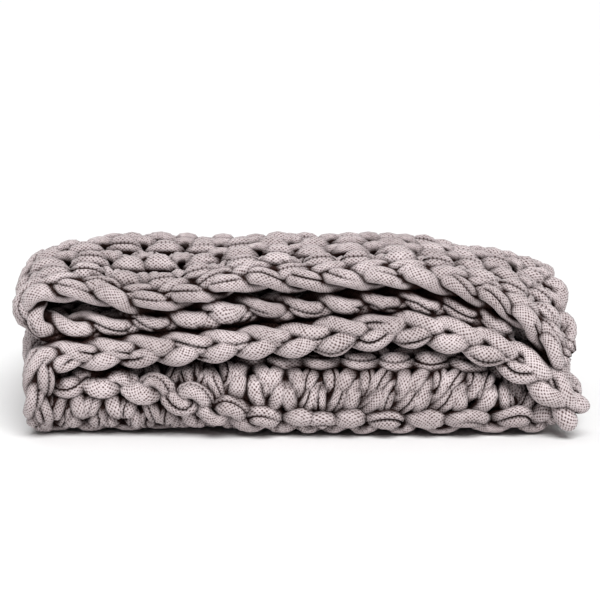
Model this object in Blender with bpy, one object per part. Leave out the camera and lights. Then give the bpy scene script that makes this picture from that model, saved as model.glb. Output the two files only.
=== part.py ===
"""A chunky knit blanket, folded in half sideways and in half again from back to front.

The blanket is one knit panel, so it is one closed solid. Its middle surface is worked out from two
numbers, across (0 to 1 along the knit rows) and along (0 to 1 from the bound-off edge to the cast-on
edge), and the solid is that surface with the thickness of the knit on both sides.

Seen from the front, four layers lie over each other: top and second are joined by a fold at the left,
third and fourth by another fold at the left, and the upper pair joins the lower pair by a fold at the
back. The fourth layer's front margin is turned under, which lifts the front of the stack.
"""

import math

import bpy
import numpy as np

# Sizes in metres
KNIT_THICKNESS = 0.020
STITCHES_ACROSS = 30
ROWS_ALONG = 30

# Across positions on the panel where the left-hand folds start and end, and where the folds lie
FOLD_START = 14 / STITCHES_ACROSS
FOLD_END = 16 / STITCHES_ACROSS
FOLD_X = -0.2405

# Depths, front to back: the free edges, the crest of the stack, and where the back fold starts
FRONT_Y = -0.197
CREST_Y = -0.045
BEND_Y = 0.137

# The fourth layer's turned-under margin
ROLL_Y = -0.172
FLAP_HEIGHT = 0.0095
FLAP_LENGTH = 0.115
FLAP_SHORTENS_FROM = 0.30
CORNER_TAIL = 0.050
CORNER_CLOSES_AT = FOLD_START + 0.8 * (FOLD_END - FOLD_START)

# Heights of the middle of each layer at the front edge, station by station from left to right
FRONT_HEIGHTS = (
    # x, top, second, third, fourth
    (-0.250, 0.148, 0.104, 0.078, 0.052),
    (-0.200, 0.143, 0.105, 0.081, 0.057),
    (-0.150, 0.133, 0.109, 0.085, 0.061),
    (-0.100, 0.141, 0.114, 0.088, 0.064),
    (-0.050, 0.153, 0.122, 0.093, 0.067),
    (0.000, 0.153, 0.123, 0.096, 0.069),
    (0.050, 0.155, 0.126, 0.100, 0.071),
    (0.100, 0.156, 0.127, 0.103, 0.072),
    (0.150, 0.145, 0.118, 0.094, 0.066),
    (0.190, 0.128, 0.103, 0.080, 0.050),
    (0.220, 0.104, 0.090, 0.062, 0.038),
    (0.245, 0.069, 0.080, 0.036, 0.040),
    (0.264, 0.044, 0.070, 0.011, 0.036),
)

# The same along the crest of the stack, a third of the way back
CREST_HEIGHTS = (
    # x, top, second, third, fourth
    (-0.250, 0.148, 0.114, 0.082, 0.052),
    (-0.200, 0.158, 0.124, 0.088, 0.054),
    (-0.100, 0.157, 0.124, 0.089, 0.054),
    (0.000, 0.161, 0.126, 0.090, 0.054),
    (0.100, 0.160, 0.126, 0.090, 0.054),
    (0.150, 0.152, 0.121, 0.087, 0.053),
    (0.190, 0.143, 0.114, 0.083, 0.050),
    (0.220, 0.132, 0.106, 0.076, 0.048),
    (0.245, 0.112, 0.095, 0.058, 0.046),
    (0.264, 0.086, 0.080, 0.036, 0.040),
)

# The same where the layers turn round at the back
BACK_HEIGHTS = (
    # x, top, second, third, fourth
    (-0.250, 0.114, 0.080, 0.046, 0.0095),
    (-0.180, 0.126, 0.088, 0.050, 0.0095),
    (0.000, 0.128, 0.089, 0.051, 0.0095),
    (0.120, 0.125, 0.087, 0.050, 0.0095),
    (0.200, 0.119, 0.084, 0.048, 0.0095),
    (0.264, 0.108, 0.077, 0.045, 0.0095),
)

# Where each layer ends at the right: x at the front and x at the back
RIGHT_ENDS = {
    "top": (0.243, 0.233),
    "second": (0.190, 0.221),
    "third": (0.262, 0.222),
    "fourth": (0.216, 0.231),
}
HEIGHT_COLUMN = {"top": 1, "second": 2, "third": 3, "fourth": 4}

# Depth at which each layer has come down from the crest; the fourth then lies flat on the floor
SETTLED_Y = {"top": 0.137, "second": 0.137, "third": 0.110, "fourth": 0.050}

# The knit's relief: a ridge every second row, on even rows of its face and odd rows of its back, with a
# bump for each stitch, and rounded edges
RIDGE_HEIGHT = 0.0070
FACE_RIDGE = 0
BACK_RIDGE = 1
EDGE_NOSE = 0.008
EDGE_BEVEL = 0.72

# The solid's grid: where each stretch of the panel ends, counted in stitches or rows, and the steps in it
ACROSS_STRETCHES = ((14, 28), (16, 6), (30, 14))
ALONG_STRETCHES = ((10, 20), (16, 12), (24, 8), (30, 12))

COTTON = (0.43, 0.37, 0.37, 1.0)
COTTON_ROUGHNESS = 0.92


def smooth_step(start, end, value):
    """0 before start, 1 after end, and an S-shaped rise in between."""
    t = np.clip((value - start) / (end - start), 0.0, 1.0)
    return t * t * (3.0 - 2.0 * t)


def curve_through(stations, column, x):
    """Height at x on a smooth curve through one column of a table of stations (cubic Hermite pieces)."""
    places = np.array([row[0] for row in stations])
    heights = np.array([row[column] for row in stations])
    slopes = np.gradient(heights, places)
    x = np.clip(x, places[0], places[-1])
    i = np.clip(np.searchsorted(places, x) - 1, 0, len(places) - 2)
    width = places[i + 1] - places[i]
    t = (x - places[i]) / width
    from_left = (2 * t**3 - 3 * t**2 + 1) * heights[i] + (t**3 - 2 * t**2 + t) * width * slopes[i]
    from_right = (3 * t**2 - 2 * t**3) * heights[i + 1] + (t**3 - t**2) * width * slopes[i + 1]
    return from_left + from_right


def layer_height(layer, x, y):
    """Height of the middle of a layer over the point x, y."""
    column = HEIGHT_COLUMN[layer]
    front = curve_through(FRONT_HEIGHTS, column, x)
    crest = curve_through(CREST_HEIGHTS, column, x)
    back = curve_through(BACK_HEIGHTS, column, x)
    ahead = front + (crest - front) * smooth_step(FRONT_Y, CREST_Y, y)
    return ahead + (back - ahead) * smooth_step(CREST_Y, SETTLED_Y[layer], y)


def arm_x(layer, share, y):
    """x on a layer: share is 0 at the left-hand fold and 1 at the right end, even along the front edge."""
    front_end, back_end = RIGHT_ENDS[layer]
    places = np.linspace(FOLD_X, front_end, 200)
    heights = curve_through(FRONT_HEIGHTS, HEIGHT_COLUMN[layer], places)
    walked = np.concatenate([[0.0], np.cumsum(np.hypot(np.diff(places), np.diff(heights)))])
    front_x = np.interp(share * walked[-1], walked, places)
    stretch = (back_end - FOLD_X) / (front_end - FOLD_X)
    to_back = smooth_step(FRONT_Y, BEND_Y, y)
    return FOLD_X + (front_x - FOLD_X) * (1.0 + (stretch - 1.0) * to_back)


def pair_point(outer, inner, across, y):
    """x and z on two layers that a left-hand fold joins: the outer arm, a half circle, the inner arm."""
    out_share = np.clip((FOLD_START - across) / FOLD_START, 0.0, 1.0)
    in_share = np.clip((across - FOLD_END) / (1.0 - FOLD_END), 0.0, 1.0)
    turn = np.clip((across - FOLD_START) / (FOLD_END - FOLD_START), 0.0, 1.0) * math.pi
    x_out = arm_x(outer, out_share, y)
    x_in = arm_x(inner, in_share, y)
    z_out = layer_height(outer, FOLD_X, y)
    z_in = layer_height(inner, FOLD_X, y)
    radius = (z_out - z_in) / 2
    x_fold = FOLD_X - np.abs(radius) * np.sin(turn)
    z_fold = (z_out + z_in) / 2 + radius * np.cos(turn)
    on_outer = across < FOLD_START
    on_inner = across > FOLD_END
    x = np.select([on_outer, on_inner], [x_out, x_in], x_fold)
    z = np.select([on_outer, on_inner], [layer_height(outer, x_out, y), layer_height(inner, x_in, y)], z_fold)
    return x, z


def tail_length(across, roll_radius):
    """Length of the margin turned under: whole under the fourth layer, short at the left-hand corner."""
    half_turn = math.pi * roll_radius
    shorten = smooth_step(FLAP_SHORTENS_FROM, FOLD_START, across)
    whole = half_turn + FLAP_LENGTH
    near_fold = whole + (CORNER_TAIL - whole) * shorten
    return near_fold * (1.0 - smooth_step(FOLD_START, CORNER_CLOSES_AT, across))


def middle_surface(across, along):
    """The panel's middle surface: arrays of across and along, 0 to 1, to an array of points."""
    inner = smooth_step((FOLD_START + FOLD_END) / 2, FOLD_END, across)
    back = np.full_like(across, BEND_Y)
    x_up, z_up = pair_point("top", "second", across, back)
    x_low, z_low = pair_point("fourth", "third", across, back)
    bend_radius = (z_up - z_low) / 2
    front_low = ROLL_Y + (FRONT_Y - ROLL_Y) * inner
    x_edge, z_edge = pair_point("fourth", "third", across, front_low)
    roll_radius = (z_edge - FLAP_HEIGHT) / 2

    upper = BEND_Y - FRONT_Y
    bend = math.pi * bend_radius
    lower = BEND_Y - front_low
    walked = along * (upper + bend + lower + tail_length(across, roll_radius))
    in_bend = np.clip(walked - upper, 0.0, bend) / bend_radius
    past_front = np.maximum(walked - upper - bend - lower, 0.0)
    in_roll = np.minimum(past_front / roll_radius, math.pi)
    under = np.maximum(past_front - math.pi * roll_radius, 0.0)

    y_up = FRONT_Y + np.minimum(walked, upper)
    y_low = BEND_Y - np.clip(walked - upper - bend, 0.0, lower)
    x1, z1 = pair_point("top", "second", across, y_up)
    x2 = x_up + (x_low - x_up) * (0.5 - 0.5 * np.cos(in_bend))
    y2 = BEND_Y + bend_radius * np.sin(in_bend)
    z2 = (z_up + z_low) / 2 + bend_radius * np.cos(in_bend)
    x3, z3 = pair_point("fourth", "third", across, y_low)
    y4 = front_low - roll_radius * np.sin(in_roll) + under
    z4 = z_edge - roll_radius * (1.0 - np.cos(in_roll))

    place = [walked <= upper, walked < upper + bend, past_front <= 0.0]
    x = np.select(place, [x1, x2, x3], x_edge)
    y = np.select(place, [y_up, y2, y_low], y4)
    z = np.select(place, [z1, z2, z3], z4)
    return np.stack([x, y, z], axis=-1)


def surface_frame(across, along, step=2e-3):
    """Unit directions on the middle surface: along the rows, across the rows, and up from the top layer."""
    right, left = np.clip(across - step, 0, 1), np.clip(across + step, 0, 1)
    ahead, behind = np.clip(along - step, 0, 1), np.clip(along + step, 0, 1)
    d_across = middle_surface(left, along) - middle_surface(right, along)
    d_along = middle_surface(across, behind) - middle_surface(across, ahead)
    normal = np.cross(d_along, d_across)
    return [d / np.linalg.norm(d, axis=-1, keepdims=True) for d in (d_across, d_along, normal)]


def stretch_lines(stretches):
    """Grid positions from 0 to 1, evenly spaced inside each stretch of a table."""
    lines = [0.0]
    for end, steps in stretches:
        lines += list(np.linspace(lines[-1], end, steps + 1)[1:])
    return np.array(lines) / lines[-1]


def knit_relief(across, along, first_ridge):
    """How far the stitches stand out: from the first ridge's row, one every second row, a bump a stitch."""
    ridge = 0.5 + 0.5 * np.cos(math.pi * (along * ROWS_ALONG - first_ridge))
    bump = 0.5 + 0.5 * np.cos(2 * math.pi * across * STITCHES_ACROSS)
    return RIDGE_HEIGHT * ridge * (0.45 + 0.55 * bump)


def make_blanket():
    """The closed solid: a face sheet, a back sheet, and a row of points round the rim between them."""
    lines_across, lines_along = stretch_lines(ACROSS_STRETCHES), stretch_lines(ALONG_STRETCHES)
    across, along = np.meshgrid(lines_across, lines_along, indexing="ij")
    middle = middle_surface(across, along)
    d_across, d_along, normal = surface_frame(across, along)
    rim = (across == 0) | (across == 1) | (along == 0) | (along == 1)
    half = KNIT_THICKNESS / 2 * np.where(rim, EDGE_BEVEL, 1.0)
    inside_rim = np.where(rim, 0.0, 1.0)
    outside = 1.0 - smooth_step(FOLD_START, FOLD_END, across)
    before_fold = 1.0 - smooth_step(FOLD_START - 1.5 / STITCHES_ACROSS, FOLD_START, across)
    margin = smooth_step(0.74, 0.80, along)
    in_front = smooth_step(ROLL_Y, ROLL_Y - 0.015, middle[..., 1])
    on_face = knit_relief(across, along, FACE_RIDGE) * outside * (1.0 - margin)
    on_back = knit_relief(across, along, BACK_RIDGE) * before_fold * margin * in_front
    face = middle + normal * (half + on_face * inside_rim)[..., None]
    back = middle - normal * (half + on_back * inside_rim)[..., None]
    out = d_across * ((across == 1) * 1.0 - (across == 0))[..., None]
    out = out + d_along * ((along == 1) * 1.0 - (along == 0))[..., None]
    nose = middle + out * EDGE_NOSE
    points = np.stack([face, back, nose])
    points[..., 2] = np.maximum(points[..., 2], 0.0)

    count_a, count_b = across.shape
    face_at, back_at, nose_at = np.arange(3 * count_a * count_b).reshape(3, count_a, count_b)
    polygons = []
    for i in range(count_a - 1):
        for j in range(count_b - 1):
            polygons.append((face_at[i, j], face_at[i, j + 1], face_at[i + 1, j + 1], face_at[i + 1, j]))
            polygons.append((back_at[i, j], back_at[i + 1, j], back_at[i + 1, j + 1], back_at[i, j + 1]))
    border = [(i, 0) for i in range(count_a)]
    border += [(count_a - 1, j) for j in range(1, count_b)]
    border += [(i, count_b - 1) for i in range(count_a - 2, -1, -1)]
    border += [(0, j) for j in range(count_b - 2, 0, -1)]
    for here, there in zip(border, border[1:] + border[:1]):
        polygons.append((face_at[here], face_at[there], nose_at[there], nose_at[here]))
        polygons.append((nose_at[here], nose_at[there], back_at[there], back_at[here]))
    used = sorted({int(n) for polygon in polygons for n in polygon})
    renumbered = {n: k for k, n in enumerate(used)}
    corners = points.reshape(-1, 3)[used]
    corners[:, :2] -= (corners[:, :2].min(axis=0) + corners[:, :2].max(axis=0)) / 2
    polygons = [tuple(renumbered[int(n)] for n in polygon) for polygon in polygons]
    mesh = bpy.data.meshes.new("blanket")
    mesh.from_pydata(corners.tolist(), [], polygons)
    mesh.shade_smooth()
    blanket = bpy.data.objects.new("blanket", mesh)
    bpy.context.scene.collection.objects.link(blanket)
    return blanket


def cotton_material():
    material = bpy.data.materials.new("cotton_tube_yarn")
    material.use_nodes = True
    shader = material.node_tree.nodes["Principled BSDF"]
    shader.inputs["Base Color"].default_value = COTTON
    shader.inputs["Roughness"].default_value = COTTON_ROUGHNESS
    shader.inputs["Metallic"].default_value = 0.0
    return material


for leftover in list(bpy.data.objects):
    bpy.data.objects.remove(leftover)
blanket = make_blanket()
blanket.data.materials.append(cotton_material())
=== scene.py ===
import math

import bpy
import numpy as np
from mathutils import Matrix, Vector


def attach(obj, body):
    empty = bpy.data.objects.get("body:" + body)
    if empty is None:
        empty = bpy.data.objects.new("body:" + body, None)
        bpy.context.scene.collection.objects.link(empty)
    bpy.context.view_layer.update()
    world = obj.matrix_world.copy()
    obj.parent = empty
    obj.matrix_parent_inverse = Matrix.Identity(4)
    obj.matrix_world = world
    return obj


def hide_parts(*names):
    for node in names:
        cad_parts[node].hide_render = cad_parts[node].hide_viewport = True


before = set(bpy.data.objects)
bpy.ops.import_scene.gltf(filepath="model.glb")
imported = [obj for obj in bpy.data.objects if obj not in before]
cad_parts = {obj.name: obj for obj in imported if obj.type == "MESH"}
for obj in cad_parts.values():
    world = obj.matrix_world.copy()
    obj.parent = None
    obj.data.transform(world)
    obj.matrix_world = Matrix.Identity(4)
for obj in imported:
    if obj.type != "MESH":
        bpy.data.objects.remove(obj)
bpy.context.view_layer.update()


# The knitted panel. The blanket is one panel of garter stitch, knit by hand on thick needles in a soft
# cotton tube yarn, and folded in quarters: a fold at the left of each pair of layers and one at the back.
# Its rows run left to right, and every stitch is a loop of yarn that passes through the rows beside it.
STITCHES = 30
ROWS = 30
FOLD_START = 14 / STITCHES
FOLD_END = 16 / STITCHES
FOLD_X = -0.2310
FOLD_BULGE = 0.014
FRONT_Y = -0.196
SECOND_SET_BACK = 0.009
CREST_Y = -0.044
BEND_Y = 0.138
ROLL_Y = -0.170
FLAP_HEIGHT = 0.0150
FLAP_LENGTH = 0.098
FLAP_SHORTENS_FROM = 0.23
CORNER_TAIL = 0.118

# x, then the heights of the middle of the top, second, third and fourth layer: front, crest and back
FRONT_HEIGHTS = (
    (-0.247, 0.144, 0.104, 0.078, 0.052),
    (-0.197, 0.143, 0.105, 0.081, 0.057),
    (-0.147, 0.133, 0.109, 0.085, 0.061),
    (-0.097, 0.141, 0.114, 0.088, 0.064),
    (-0.047, 0.154, 0.122, 0.093, 0.067),
    (0.003, 0.153, 0.123, 0.096, 0.069),
    (0.053, 0.155, 0.127, 0.102, 0.071),
    (0.103, 0.156, 0.128, 0.106, 0.072),
    (0.153, 0.145, 0.119, 0.097, 0.067),
    (0.193, 0.128, 0.103, 0.080, 0.049),
    (0.223, 0.104, 0.090, 0.062, 0.036),
    (0.248, 0.069, 0.080, 0.036, 0.028),
    (0.267, 0.044, 0.070, 0.014, 0.026),
)
CREST_HEIGHTS = (
    (-0.247, 0.141, 0.112, 0.082, 0.048),
    (-0.197, 0.152, 0.122, 0.088, 0.051),
    (-0.097, 0.150, 0.122, 0.089, 0.052),
    (0.003, 0.152, 0.123, 0.090, 0.052),
    (0.103, 0.152, 0.123, 0.090, 0.052),
    (0.153, 0.142, 0.116, 0.086, 0.051),
    (0.193, 0.134, 0.109, 0.082, 0.049),
    (0.223, 0.125, 0.101, 0.075, 0.047),
    (0.248, 0.116, 0.093, 0.058, 0.046),
    (0.267, 0.104, 0.084, 0.036, 0.040),
)
BACK_HEIGHTS = (
    (-0.247, 0.114, 0.080, 0.046, 0.0150),
    (-0.177, 0.126, 0.088, 0.050, 0.0150),
    (0.003, 0.128, 0.089, 0.051, 0.0150),
    (0.123, 0.125, 0.087, 0.050, 0.0150),
    (0.203, 0.119, 0.084, 0.048, 0.0150),
    (0.267, 0.108, 0.077, 0.045, 0.0150),
)
HEIGHT_COLUMN = {"top": 1, "second": 2, "third": 3, "fourth": 4}
RIGHT_ENDS = {
    "top": (0.248, 0.252),
    "second": (0.193, 0.224),
    "third": (0.262, 0.225),
    "fourth": (0.238, 0.234),
}
SETTLED_Y = {"top": 0.138, "second": 0.138, "third": 0.110, "fourth": 0.050}


def smooth_step(start, end, value):
    """0 before start, 1 after end, and 3t^2 - 2t^3 in between."""
    t = np.clip((value - start) / (end - start), 0.0, 1.0)
    return t * t * (3.0 - 2.0 * t)


def curve_through(stations, column, x):
    """Height at x on a smooth curve through one column of a table of stations: cubic Hermite pieces."""
    places = np.array([row[0] for row in stations])
    heights = np.array([row[column] for row in stations])
    slopes = np.gradient(heights, places)
    x = np.clip(x, places[0], places[-1])
    i = np.clip(np.searchsorted(places, x) - 1, 0, len(places) - 2)
    width = places[i + 1] - places[i]
    t = (x - places[i]) / width
    from_left = (2 * t**3 - 3 * t**2 + 1) * heights[i] + (t**3 - 2 * t**2 + t) * width * slopes[i]
    from_right = (3 * t**2 - 2 * t**3) * heights[i + 1] + (t**3 - t**2) * width * slopes[i + 1]
    return from_left + from_right


def layer_height(layer, x, y):
    """Height of the middle of a layer: front, crest and back curves in x, blended by smooth steps in y."""
    column = HEIGHT_COLUMN[layer]
    front = curve_through(FRONT_HEIGHTS, column, x)
    crest = curve_through(CREST_HEIGHTS, column, x)
    back = curve_through(BACK_HEIGHTS, column, x)
    ahead = front + (crest - front) * smooth_step(FRONT_Y, CREST_Y, y)
    return ahead + (back - ahead) * smooth_step(CREST_Y, SETTLED_Y[layer], y)


def fold_x(y):
    """x of the left-hand folds: they bulge to the left behind the front edge by a smooth step."""
    return FOLD_X - FOLD_BULGE * smooth_step(FRONT_Y, CREST_Y, y)


def arm_x(layer, share, y, steps=200):
    """x on a layer from the left-hand fold (share 0) to its right end (1), even along the front edge."""
    front_end, back_end = RIGHT_ENDS[layer]
    places = np.linspace(FOLD_X, front_end, steps)
    heights = curve_through(FRONT_HEIGHTS, HEIGHT_COLUMN[layer], places)
    walked = np.concatenate([[0.0], np.cumsum(np.hypot(np.diff(places), np.diff(heights)))])
    front_x = np.interp(share * walked[-1], walked, places)
    stretch = (back_end - FOLD_X) / (front_end - FOLD_X)
    walk = (front_x - FOLD_X) * (1.0 + (stretch - 1.0) * smooth_step(FRONT_Y, BEND_Y, y))
    return FOLD_X + walk + (fold_x(y) - FOLD_X) * (1.0 - share)


def pair_point(outer, inner, across, y):
    """x and z on two layers that a left-hand fold joins: the outer arm, a half circle, the inner arm."""
    turn = np.clip((across - FOLD_START) / (FOLD_END - FOLD_START), 0.0, 1.0) * math.pi
    x_out = arm_x(outer, np.clip((FOLD_START - across) / FOLD_START, 0.0, 1.0), y)
    x_in = arm_x(inner, np.clip((across - FOLD_END) / (1.0 - FOLD_END), 0.0, 1.0), y)
    at_fold = fold_x(y)
    z_out = layer_height(outer, at_fold, y)
    z_in = layer_height(inner, at_fold, y)
    radius = (z_out - z_in) / 2
    sides = [across < FOLD_START, across > FOLD_END]
    x = np.select(sides, [x_out, x_in], at_fold - np.abs(radius) * np.sin(turn))
    z_fold = (z_out + z_in) / 2 + radius * np.cos(turn)
    z = np.select(sides, [layer_height(outer, x_out, y), layer_height(inner, x_in, y)], z_fold)
    return x, z


def panel_point(across, along):
    """The folded panel's middle surface, from two shares of the flat panel.

    Along starts at the front edge of the upper pair of layers, goes back over it, round a half circle
    at the back, forward on the lower pair, and down and under in a second half circle at the front.
    """
    inner = smooth_step((FOLD_START + FOLD_END) / 2, FOLD_END, across)
    back = np.full_like(across, BEND_Y)
    x_up, z_up = pair_point("top", "second", across, back)
    x_low, z_low = pair_point("fourth", "third", across, back)
    bend_radius = (z_up - z_low) / 2
    front_up = FRONT_Y + SECOND_SET_BACK * inner
    front_low = ROLL_Y + (FRONT_Y - ROLL_Y) * inner
    x_edge, z_edge = pair_point("fourth", "third", across, front_low)
    roll_radius = (z_edge - FLAP_HEIGHT) / 2
    tail = math.pi * roll_radius + FLAP_LENGTH
    tail = tail + (CORNER_TAIL - tail) * smooth_step(FLAP_SHORTENS_FROM, FOLD_START, across)
    tail = tail * (1.0 - smooth_step(FOLD_START, FOLD_END, across))

    upper = BEND_Y - front_up
    bend = math.pi * bend_radius
    lower = BEND_Y - front_low
    walked = along * (upper + bend + lower + tail)
    in_bend = np.clip(walked - upper, 0.0, bend) / bend_radius
    past_front = np.maximum(walked - upper - bend - lower, 0.0)
    in_roll = np.minimum(past_front / roll_radius, math.pi)
    under = np.maximum(past_front - math.pi * roll_radius, 0.0)

    y_up = front_up + np.minimum(walked, upper)
    y_low = BEND_Y - np.clip(walked - upper - bend, 0.0, lower)
    x1, z1 = pair_point("top", "second", across, y_up)
    x2 = x_up + (x_low - x_up) * (0.5 - 0.5 * np.cos(in_bend))
    y2 = BEND_Y + bend_radius * np.sin(in_bend)
    z2 = (z_up + z_low) / 2 + bend_radius * np.cos(in_bend)
    x3, z3 = pair_point("fourth", "third", across, y_low)
    y4 = front_low - roll_radius * np.sin(in_roll) + under
    z4 = z_edge - roll_radius * (1.0 - np.cos(in_roll))
    place = [walked <= upper, walked < upper + bend, past_front <= 0.0]
    x = np.select(place, [x1, x2, x3], x_edge)
    y = np.select(place, [y_up, y2, y_low], y4)
    z = np.select(place, [z1, z2, z3], z4)
    return np.stack([x, y, z], axis=-1)


def unit(vectors):
    """Vectors divided by their length."""
    return vectors / np.maximum(np.linalg.norm(vectors, axis=-1, keepdims=True), 1e-12)


def panel_normal(across, along, step=4e-3):
    """Unit normals of the panel, up on the top layer: the cross product of its two directions."""
    right, left = (np.clip(across + way, 0, 1) for way in (step, -step))
    far, near = (np.clip(along + way, 0, 1) for way in (step, -step))
    d_across = panel_point(right, along) - panel_point(left, along)
    d_along = panel_point(across, far) - panel_point(across, near)
    return unit(np.cross(d_along, d_across))


def rest_on_floor(points, give=0.006):
    """Presses a cord flat where it lies: heights under give run out to 0 as give * exp(z / give - 1)."""
    z = points[..., 2]
    low = give * np.exp(np.minimum(z / give - 1.0, 0.0))
    points[..., 2] = np.where(z < give, low, z)
    return points


# The angles round the yarn where its mesh has points, closer together at the creases
TUBE_ANGLES = (0, 27, 54, 79, 90, 101, 126, 153, 180, 207, 234, 259, 270, 281, 306, 333)
TUBE_SIDES = len(TUBE_ANGLES)
TUBE_GIRTH = 0.046
FULLNESS = 0.10
TWIST = 1.2
CREASE_DEPTH = 0.62
CREASE_STARTS = (0.30, 0.55)
CREASE_WANDERS = 0.9
CREASE_SPREAD = 0.13
CREASE_SHADE = 1.9
END_ROUNDING = 0.009

chance = np.random.default_rng(11)


def between(values, at):
    """Values given at whole numbers, read in between them in a straight line."""
    return np.interp(at, np.arange(len(values)), values)


def yarn_shapes(count, rings):
    """Slow changes along a yarn: fullness 0 to 1, depth and place of its crease, and its twist."""
    full, crease_draw, place_draw, twist_draw = (
        between(chance.uniform(0.0, 1.0, count // rings + 2), np.arange(count) / rings) for _ in range(4)
    )
    crease = CREASE_DEPTH * smooth_step(*CREASE_STARTS, crease_draw)
    return full, crease, CREASE_WANDERS * (place_draw - 0.5), TWIST * (twist_draw - 0.5)


def tube_yarn(name, path, facing, width, thickness, shapes, material):
    """A flattened tube of yarn along a path, as one closed mesh.

    Round each point the section is width/2 cos(a) beside the path and thickness/2 sin(a) out of the
    knit, with a narrow crease exp(-(cos(a)/spread)^2) along both flat sides, all turned round the path by
    the twist. Its UVs are metres along and round; a point attribute holds the painted shade in the crease.
    """
    full, crease, crease_place, twist = shapes
    walked = np.concatenate([[0.0], np.cumsum(np.linalg.norm(np.diff(path, axis=0), axis=1))])
    from_end = np.clip(np.minimum(walked, walked[-1] - walked) / END_ROUNDING, 0.04, 1.0)
    rounding = np.sqrt(1.0 - (1.0 - from_end) ** 2)
    width = width * (1.0 + FULLNESS * (full - 0.5)) * rounding
    thickness = thickness * (1.0 - FULLNESS * (full - 0.5)) * rounding
    ahead = unit(np.gradient(path, axis=0))
    beside = unit(np.cross(facing, ahead))
    out = np.cross(ahead, beside)
    turn = twist[:, None]
    beside, out = beside * np.cos(turn) + out * np.sin(turn), out * np.cos(turn) - beside * np.sin(turn)
    angles = np.radians(TUBE_ANGLES)
    dent = crease[:, None] * np.exp(-((np.cos(angles) / CREASE_SPREAD) ** 2))
    a = angles - crease_place[:, None] * np.sin(angles)
    across = (width[:, None] / 2 * np.cos(a))[..., None] * beside[:, None]
    deep = (thickness[:, None] / 2 * np.sin(a) * (1.0 - dent))[..., None] * out[:, None]
    points = rest_on_floor(path[:, None] + across + deep)

    count = len(path)
    at = np.arange(count * TUBE_SIDES).reshape(count, TUBE_SIDES)
    near = at[:-1]
    far = at[1:]
    quads = np.stack([near, np.roll(near, -1, axis=1), np.roll(far, -1, axis=1), far], axis=-1)
    quads = quads.reshape(-1, 4)
    corners = np.concatenate([quads.ravel(), at[0][::-1], at[-1]])
    sizes = np.concatenate([np.full(len(quads), 4), [TUBE_SIDES, TUBE_SIDES]])
    starts = np.concatenate([[0], np.cumsum(sizes)[:-1]])
    mesh = bpy.data.meshes.new(name)
    mesh.vertices.add(points.size // 3)
    mesh.vertices.foreach_set("co", points.ravel())
    mesh.loops.add(len(corners))
    mesh.loops.foreach_set("vertex_index", corners.astype(np.int32))
    mesh.polygons.add(len(sizes))
    mesh.polygons.foreach_set("loop_start", starts.astype(np.int32))
    mesh.update(calc_edges=True)
    mesh.shade_smooth()

    ring, side = np.meshgrid(np.arange(count - 1), np.arange(TUBE_SIDES), indexing="ij")
    along_m = np.stack([walked[ring], walked[ring], walked[ring + 1], walked[ring + 1]], axis=-1)
    turned = np.array(TUBE_ANGLES + (360,)) / 360.0 * TUBE_GIRTH
    round_m = np.stack([turned[side], turned[side + 1], turned[side + 1], turned[side]], axis=-1)
    uv = np.stack([along_m, round_m], axis=-1).reshape(-1, 2)
    uv = np.concatenate([uv, np.zeros((2 * TUBE_SIDES, 2))])
    mesh.uv_layers.new(name="yarn_metres").data.foreach_set("uv", uv.ravel())
    # Painted shade: the crease's darkness goes into the colour through this attribute.
    painted_shade = mesh.attributes.new("painted_shade", "FLOAT", "POINT")
    painted_shade.data.foreach_set("value", (CREASE_SHADE * dent).ravel())
    piece = bpy.data.objects.new(name, mesh)
    bpy.context.scene.collection.objects.link(piece)
    mesh.materials.append(material)
    return piece


DOT_SPACING = 0.0029
DOTS_ROUND = 16
DOT_UNEVENNESS = 2.4
DOT_TINT = (0.20, 0.135, 0.125, 1.0)
# The colour of the painted shade in creases and between the yarns
PAINTED_SHADE_TINT = (0.05, 0.03, 0.026, 1.0)
DARKER_COTTON = (0.435, 0.369, 0.370, 1.0)
LIGHTER_COTTON = (0.665, 0.580, 0.588, 1.0)
SHEEN_AND_GLOSS = 0.22


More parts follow.
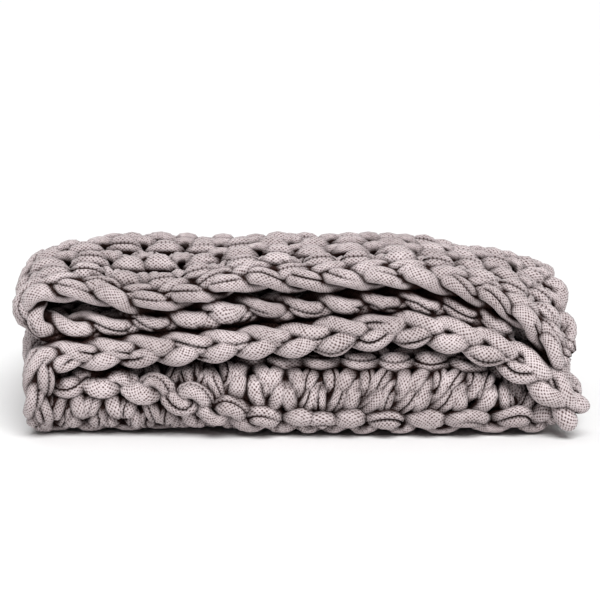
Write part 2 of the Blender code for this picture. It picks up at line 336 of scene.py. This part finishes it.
def cotton_tube_yarn():
    """Matt mauve-grey cotton: the yarn's own tiny knit as dark dots, with random tone and painted shade."""
    material = bpy.data.materials.new("cotton_tube_yarn")
    material.use_nodes = True
    nodes = material.node_tree.nodes
    links = material.node_tree.links
    shader = nodes["Principled BSDF"]
    shader.inputs["Roughness"].default_value = 0.88
    shader.inputs["Sheen Roughness"].default_value = 0.55

    def maths(kind, first, second=None):
        node = nodes.new("ShaderNodeMath")
        node.operation = kind
        for socket, value in zip(node.inputs, (first, second)):
            if isinstance(value, (int, float)):
                socket.default_value = value
            elif value is not None:
                links.new(value, socket)
        return node.outputs[0]

    def darkened(first, share, tint):
        node = nodes.new("ShaderNodeMix")
        node.data_type = "RGBA"
        node.blend_type = "MULTIPLY"
        node.inputs["B"].default_value = tint
        links.new(share, node.inputs["Factor"])
        links.new(first, node.inputs["A"])
        return node.outputs["Result"]

    def noise(scale, detail):
        node = nodes.new("ShaderNodeTexNoise")
        node.inputs["Scale"].default_value = scale
        node.inputs["Detail"].default_value = detail
        links.new(place.outputs["Object"], node.inputs["Vector"])
        return node.outputs["Fac"]

    def stepped(value, start, end):
        node = nodes.new("ShaderNodeMapRange")
        node.interpolation_type = "SMOOTHSTEP"
        node.inputs["From Min"].default_value = start
        node.inputs["From Max"].default_value = end
        links.new(value, node.inputs["Value"])
        return node.outputs["Result"]

    place = nodes.new("ShaderNodeTexCoord")
    uv = nodes.new("ShaderNodeUVMap")
    uv.uv_map = "yarn_metres"
    yarn_uv = nodes.new("ShaderNodeSeparateXYZ")
    links.new(uv.outputs["UV"], yarn_uv.inputs[0])
    along_wave = maths("SINE", maths("MULTIPLY", yarn_uv.outputs[0], 2 * math.pi / DOT_SPACING))
    round_wave = maths("SINE", maths("MULTIPLY", yarn_uv.outputs[1], 2 * math.pi * DOTS_ROUND / TUBE_GIRTH))
    unevenness = maths("MULTIPLY", maths("SUBTRACT", noise(scale=420.0, detail=2.0), 0.5), DOT_UNEVENNESS)
    lattice = maths("ADD", maths("MULTIPLY", along_wave, round_wave), unevenness)
    hole = stepped(lattice, start=-0.15, end=0.95)

    tones = nodes.new("ShaderNodeValToRGB")
    stops = ((0.3, DARKER_COTTON), (0.7, LIGHTER_COTTON))
    for element, (position, tone) in zip(tones.color_ramp.elements, stops):
        element.position = position
        element.color = tone
    links.new(noise(scale=22.0, detail=3.0), tones.inputs["Fac"])
    painted_shade = nodes.new("ShaderNodeAttribute")
    painted_shade.attribute_name = "painted_shade"
    colour = darkened(tones.outputs["Color"], hole, DOT_TINT)
    # Painted shade: the colour is darkened in the creases and where yarns press together, and the sheen and
    # gloss are taken away there.
    colour = darkened(colour, painted_shade.outputs["Fac"], PAINTED_SHADE_TINT)
    links.new(colour, shader.inputs["Base Color"])
    in_light = maths("SUBTRACT", 1.0, painted_shade.outputs["Fac"])
    for layer in ("Sheen Weight", "Specular IOR Level"):
        links.new(maths("MULTIPLY", in_light, SHEEN_AND_GLOSS), shader.inputs[layer])

    bump = nodes.new("ShaderNodeBump")
    bump.invert = True
    bump.inputs["Strength"].default_value = 0.6
    bump.inputs["Distance"].default_value = 0.0012
    links.new(hole, bump.inputs["Height"])
    links.new(bump.outputs["Normal"], shader.inputs["Normal"])
    return material


ROWS_A_PIECE = 6
RINGS_A_STITCH = 24
RINGS_A_CHANGE = 12
HEAD_WIDTH = 0.0205
LEG_WIDTH = 0.0165
YARN_THICKNESS = 0.0140

# The loop, in stitches and rows, and in metres out of the knit
LOOP_REACH = 0.765
LOOP_LEAN = 0.255
LOOP_DEPTH = 0.0048
LOOP_WAVE = 0.0048
LOOP_FLATNESS = 0.0020
UNEVEN_PLACE = 0.06
UNEVEN_SLANT = 0.07
UNEVEN_REACH = 0.07
UNEVEN_DEPTH = 0.08
TURN_REACH = 0.30
EDGE_ROOM = 0.008
SIDE_ROOM = 0.006

# The two bars of each ridge tilt away from each other. On the open top layer the bars stand up more, and on
# the roll at the lower front the stitches near the right end slant down to the left.
BAR_TILT = 0.45
STAND_UP = 0.80
TOP_LAYER_ENDS = (0.24, 0.34)
ROW_LEAN = 0.028
LEAN_RISES = (0.02, 0.10)
LEAN_FALLS = (0.15, 0.27)
LEANING_ROWS = (0.83, 0.90)


def knit_row(row):
    """Shares across and along, depth and bar share of one row's yarn, foot by foot and head by head.

    With t going once round for each stitch: across is t plus lean sin 2t and a slant times cos t, along is
    -reach cos t, and the depth is -(depth cos t + wave cos 3t - flatness cos 5t), turned over on every
    second row. Place, slant, reach and depth are a little uneven from stitch to stitch. The bar share is
    cos^2 t, 1 on the bars and 0 on the legs.
    """
    at = np.linspace(0.0, STITCHES, STITCHES * RINGS_A_STITCH + 1)
    t = 2 * math.pi * at
    uneven = between(chance.normal(0.0, 1.0, STITCHES + 1), at)
    loose = between(chance.normal(0.0, 1.0, STITCHES + 1), at)
    slanted = between(chance.normal(0.0, 1.0, STITCHES + 1), at)
    slant = UNEVEN_SLANT * slanted * np.cos(t)
    across = (at + LOOP_LEAN * np.sin(2 * t) + UNEVEN_PLACE * uneven + slant) / STITCHES
    reach = LOOP_REACH * (1.0 + UNEVEN_REACH * loose)
    along = (row + 0.5 - reach * np.cos(t)) / ROWS
    side = 1.0 if row % 2 else -1.0
    depth = LOOP_DEPTH * np.cos(t) + LOOP_WAVE * np.cos(3 * t) - LOOP_FLATNESS * np.cos(5 * t)
    depth = -side * depth * (1.0 + UNEVEN_DEPTH * uneven)
    return across, along, depth, np.cos(t) ** 2


def turn_round(end, start, side, steps=9):
    """A half circle of yarn at the selvage, from the end of one row to the start of the next."""
    t = np.linspace(0.0, math.pi, steps + 2)[1:-1]
    mix = 0.5 - 0.5 * np.cos(t)
    across, along, depth = (end[i] + (start[i] - end[i]) * mix for i in range(3))
    return across + side * TURN_REACH / STITCHES * np.sin(t), along, depth, np.ones_like(t)


def knit_path(first_row, last_row):
    """The yarn of a few rows, one after the other, to and fro with a turn at each selvage."""
    stretches = []
    for row in range(first_row, last_row):
        stitches = knit_row(row)
        if row % 2:
            stitches = [values[::-1] for values in stitches]
        if stretches:
            before = [values[-1] for values in stretches[-1]]
            after = [values[0] for values in stitches]
            stretches.append(turn_round(before, after, 1.0 if row % 2 else -1.0))
        stretches.append(stitches)
    across, along, depth, bar = (np.concatenate(values) for values in zip(*stretches))
    span = 1.0 + (2 * LOOP_REACH - 1.0) / ROWS
    along = EDGE_ROOM + (1.0 - 2 * EDGE_ROOM) * (along + (LOOP_REACH - 0.5) / ROWS) / span
    right_end = smooth_step(*LEAN_RISES, across) * (1.0 - smooth_step(*LEAN_FALLS, across))
    across = across + ROW_LEAN * right_end * smooth_step(*LEANING_ROWS, along)
    across = across * (1.0 - 2 * SIDE_ROOM) + SIDE_ROOM
    return np.clip(across, 0.0, 1.0), np.clip(along, 0.0, 1.0), depth, bar


yarn = cotton_tube_yarn()
blanket_pieces = []
for number, first_row in enumerate(range(0, ROWS, ROWS_A_PIECE)):
    across, along, depth, bar = knit_path(first_row, min(first_row + ROWS_A_PIECE, ROWS))
    open_top = 1.0 - smooth_step(FOLD_START, FOLD_END, across)
    open_top = open_top * (1.0 - smooth_step(*TOP_LAYER_ENDS, along))
    depth = depth * (1.0 + STAND_UP * open_top * (depth > 0.0))
    facing = panel_normal(across, along)
    path = panel_point(across, along) + facing * depth[:, None]

    # Each point goes halfway to the middle of its two neighbours, which eases the tightest bends
    path[1:-1] = 0.5 * path[1:-1] + 0.25 * (path[:-2] + path[2:])
    width = LEG_WIDTH + (HEAD_WIDTH - LEG_WIDTH) * bar
    thickness = np.full(len(path), YARN_THICKNESS)
    full, crease, crease_place, twist = yarn_shapes(len(path), RINGS_A_CHANGE)
    shapes = full, crease, crease_place, twist - BAR_TILT * bar
    piece = tube_yarn(f"knit_rows_{number + 1}", path, facing, width, thickness, shapes, yarn)
    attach(piece, "root")
    blanket_pieces.append(piece)
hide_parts("blanket")


# The braided edges. The panel is cast on and bound off by hand with a chain of the same cotton tube yarn,
# which closes its first and last row as a fat plait and shows along the front of the folded stack.
PLAIT_PITCH = 0.0360
PLAIT_WIDE = 0.0058
PLAIT_DEEP = 0.0058
PLAIT_BIAS = 0.0035
PLAIT_YARN = 0.0168
PLAIT_RINGS = 900
PLAIT_RINGS_A_CHANGE = 16
PLAIT_ENDS = (0.004, 0.996)
ENDS_DIVE = 0.014
SWELL_REACH = 0.017

# For each edge: its along share, at its start and end the share of the bias, the tilt in degrees and the
# size of the plait, and the place and amount of one swelling
EDGES = (
    ("bound_off_edge", 0.0, (1.0, 1.0), (25.0, 25.0), (1.0, 1.0), (0.703, 0.34)),
    ("cast_on_edge", 1.0, (-1.0, 1.8), (0.0, -30.0), (0.8, 1.25), (0.770, 0.15)),
)


def plait_strand(strand, along_edge, lean, tilt, sizes, swelling):
    """One strand of three along an edge, the direction of its flat side, and its size along the plait.

    It goes to and fro as wide sin(p), and over and under as -deep sin(2 p) + bias cos(p), a third of a
    turn from the next: the bias brings the strands that lean one way to the front. The flat side faces
    out from the edge, turned by the tilt towards the face of the knit. Both ends dive into the knit, and
    the swelling is a bell, amount exp(-((across - place)/reach)^2).
    """
    across = np.linspace(*PLAIT_ENDS, PLAIT_RINGS)
    dive = 1.0 - smooth_step(0.0, ENDS_DIVE, np.minimum(across, 1.0 - across))
    along = np.abs(along_edge - ENDS_DIVE * dive)
    middle = panel_point(across, along)
    upright = panel_normal(across, along)
    ahead = unit(np.gradient(middle, axis=0))
    outward = unit(np.cross(ahead, upright)) * (1.0 if along_edge else -1.0)
    tilt = np.radians(np.linspace(*tilt, PLAIT_RINGS))[:, None]
    facing = outward * np.cos(tilt) + upright * np.sin(tilt)
    beside = upright * np.cos(tilt) - outward * np.sin(tilt)
    walked = np.concatenate([[0.0], np.cumsum(np.linalg.norm(np.diff(middle, axis=0), axis=1))])
    phase = 2 * math.pi * (walked / (3 * PLAIT_PITCH) + strand / 3)
    swell_place, swell_amount = swelling
    size = np.linspace(*sizes, PLAIT_RINGS)
    size = size + swell_amount * np.exp(-(((across - swell_place) / SWELL_REACH) ** 2))
    side = size * PLAIT_WIDE * np.sin(phase)
    bias = np.linspace(*lean, PLAIT_RINGS) * PLAIT_BIAS
    over = size * PLAIT_DEEP * -np.sin(2 * phase) + bias * np.cos(phase)
    return middle + beside * side[:, None] + facing * over[:, None], facing, size


for edge_name, *edge in EDGES:
    for strand in range(3):
        path, facing, size = plait_strand(strand, *edge)
        width = PLAIT_YARN * size
        thickness = YARN_THICKNESS * size
        shapes = yarn_shapes(len(path), PLAIT_RINGS_A_CHANGE)
        piece = tube_yarn(f"{edge_name}_{strand + 1}", path, facing, width, thickness, shapes, yarn)
        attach(piece, "root")
        blanket_pieces.append(piece)


# Painted shade between the yarns. How full the space is just outside each point of yarn is read from a grid
# of all the yarn in the blanket, and shade is painted into the cotton where strands and layers press
# together.
CELL = 0.003
MARGIN = 0.030
PROBES = 4
PROBE_REACH = 0.55
BLUR_PASSES = 6
OUTSIDE = 0.006
OPEN_AND_SHUT = (0.11, 0.37)


def fullness_grid(coordinates, low):
    """The share of each cell of a grid that yarn fills, blurred by a quarter, a half and a quarter.

    The yarn's volume at each ring goes in equal parts to a few probes between its middle and its skin.
    """
    cells = np.ceil((np.max(np.concatenate(coordinates), axis=0) + MARGIN - low) / CELL).astype(int)
    grid = np.zeros(np.prod(cells))
    for points in coordinates:
        rings = points.reshape(-1, TUBE_SIDES, 3)
        centres = np.mean(rings, axis=1, keepdims=True)
        steps = np.linalg.norm(np.gradient(centres[:, 0], axis=0), axis=-1)
        volume = steps * LEG_WIDTH * YARN_THICKNESS * math.pi / 4
        probes = centres + PROBE_REACH * (rings[:, :: TUBE_SIDES // PROBES] - centres)
        at = np.floor((probes - low) / CELL).astype(int).reshape(-1, 3)
        volumes = np.repeat(volume / PROBES, PROBES)
        grid += np.bincount(np.ravel_multi_index(at.T, cells), volumes, len(grid))
    grid = grid.reshape(cells) / CELL**3
    for axis in (0, 1, 2) * BLUR_PASSES:
        grid = 0.5 * grid + 0.25 * (np.roll(grid, 1, axis) + np.roll(grid, -1, axis))
    return grid


def read_between(grid, at):
    """The grid's value at places in between its cells, in a straight line along each axis."""
    first = np.floor(at).astype(int)
    share = at - first
    total = np.zeros(len(at))
    for corner in np.ndindex(2, 2, 2):
        weight = np.prod(np.where(corner, share, 1.0 - share), axis=-1)
        total += weight * grid[tuple((first + corner).T)]
    return total


def numbers(collection, name, width):
    """One property of all the items of a mesh's collection, as rows of numbers."""
    values = np.empty(len(collection) * width)
    collection.foreach_get(name, values)
    return values.reshape(-1, width)


coordinates = [numbers(piece.data.vertices, "co", 3) for piece in blanket_pieces]
low = np.min(np.concatenate(coordinates), axis=0) - MARGIN
grid = fullness_grid(coordinates, low)
for piece, points in zip(blanket_pieces, coordinates):
    normals = numbers(piece.data.vertex_normals, "vector", 3)
    full = read_between(grid, (points + normals * OUTSIDE - low) / CELL - 0.5)
    painted_shade = piece.data.attributes["painted_shade"].data
    # Painted shade: the darker of the crease's shade and the shade from how full the space outside the yarn
    # is.
    shade = np.maximum(numbers(painted_shade, "value", 1)[:, 0], smooth_step(*OPEN_AND_SHUT, full))
    painted_shade.foreach_set("value", shade)


# The studio. A plain pale floor, a broad soft light from the front and a weaker one from above, and the
# camera a little above the blanket, as in the photograph.
FLOOR_REACH = 60.0
floor_mesh = bpy.data.meshes.new("floor")
floor_corners = [(x * FLOOR_REACH, y * FLOOR_REACH, 0.0) for x, y in ((-1, -1), (1, -1), (1, 1), (-1, 1))]
floor_mesh.from_pydata(floor_corners, [], [(0, 1, 2, 3)])
floor = bpy.data.objects.new("floor", floor_mesh)
bpy.context.scene.collection.objects.link(floor)
pale = bpy.data.materials.new("pale_floor")
pale.use_nodes = True
pale_shader = pale.node_tree.nodes["Principled BSDF"]
pale_shader.inputs["Base Color"].default_value = (0.88, 0.88, 0.88, 1.0)
pale_shader.inputs["Roughness"].default_value = 0.9
floor_mesh.materials.append(pale)

world = bpy.data.worlds.new("studio")
world.use_nodes = True
background = world.node_tree.nodes["Background"]
background.inputs["Color"].default_value = (1.0, 1.0, 1.0, 1.0)
background.inputs["Strength"].default_value = 0.16
bpy.context.scene.world = world


def soft_light(name, comes_from, spread, strength):
    """A far light with soft shadows, from a direction and over a spread in degrees."""
    light = bpy.data.lights.new(name, "SUN")
    light.angle = math.radians(spread)
    light.energy = strength
    lamp = bpy.data.objects.new(name, light)
    lamp.rotation_euler = (-Vector(comes_from)).to_track_quat("-Z", "Y").to_euler()
    bpy.context.scene.collection.objects.link(lamp)


soft_light("overhead_light", comes_from=(-0.25, 0.3, 1.0), spread=60.0, strength=0.65)
soft_light("front_light", comes_from=(0.15, -0.9, 1.0), spread=40.0, strength=3.7)

SENSOR = 36.0
VIEW_ANGLE = math.radians(15.8)
AIM = Vector((0.0, 0.0, 0.101))
DISTANCE = 2.2
ELEVATION = math.radians(9.0)
camera = bpy.data.cameras.new("camera")
camera.sensor_width = SENSOR
camera.lens = SENSOR / (2 * math.tan(VIEW_ANGLE / 2))
viewer = bpy.data.objects.new("camera", camera)
viewer.location = AIM + DISTANCE * Vector((0.0, -math.cos(ELEVATION), math.sin(ELEVATION)))
viewer.rotation_euler = (AIM - viewer.location).to_track_quat("-Z", "Y").to_euler()
bpy.context.scene.collection.objects.link(viewer)
bpy.context.scene.camera = viewer
bpy.context.scene.view_settings.view_transform = "Standard"
